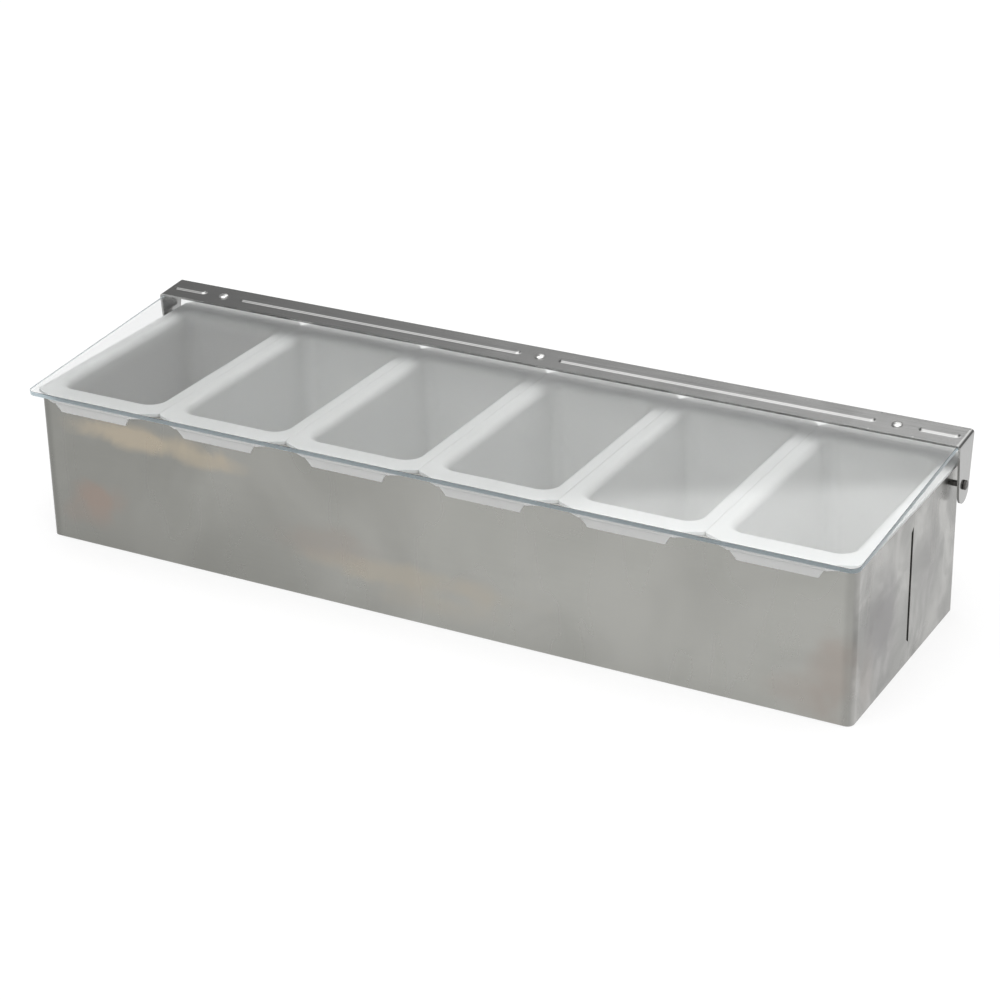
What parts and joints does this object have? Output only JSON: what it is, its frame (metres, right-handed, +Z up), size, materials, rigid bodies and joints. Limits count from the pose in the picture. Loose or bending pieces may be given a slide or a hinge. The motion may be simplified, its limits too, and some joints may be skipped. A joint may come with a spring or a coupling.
{
  "type": "bar garnish tray",
  "caption": "Long folded steel box holding loose white pans in a row under a clear lid that tilts back on a hinge bar with side arms.",
  "frame": {"origin": "centre of the flat underside of the box", "axes": "+X along the length, +Y towards the hinge at the rear, +Z up"},
  "size_m": [0.497, 0.1592, 0.104],
  "materials": {
    "box_steel": "thin stainless sheet, softly cloudy",
    "bar_steel": "thin stainless strip, fine lengthwise grain",
    "pin_steel": "dark plain steel",
    "rivet_steel": "bright domed heads",
    "white_pan": "moulded white plastic, light gloss",
    "clear_lid": "clear plastic sheet with polished edges"
  },
  "bodies": {
    "box": {"front_shell": "box_steel", "rear_shell": "box_steel", "base_pan": "box_steel", "left_seam_strap": "box_steel", "right_seam_strap": "box_steel", "left_pivot_pin": "pin_steel", "right_pivot_pin": "pin_steel", "pan_1": "white_pan", "pan_2": "white_pan", "pan_3": "white_pan", "pan_4": "white_pan", "pan_5": "white_pan", "pan_6": "white_pan"},
    "lid_assembly": {"hinge_bar": "bar_steel", "lid": "clear_lid", "lid_rivets": "rivet_steel", "rivet_washers": "rivet_steel"}
  },
  "joints": [
    {"name": "lid_hinge", "type": "hinge", "parent": "box", "child": "lid_assembly", "pos_m": [0, 0.0625, 0.0765], "axis": [-1, 0, 0], "range_deg": [0, 130]}
  ]
}
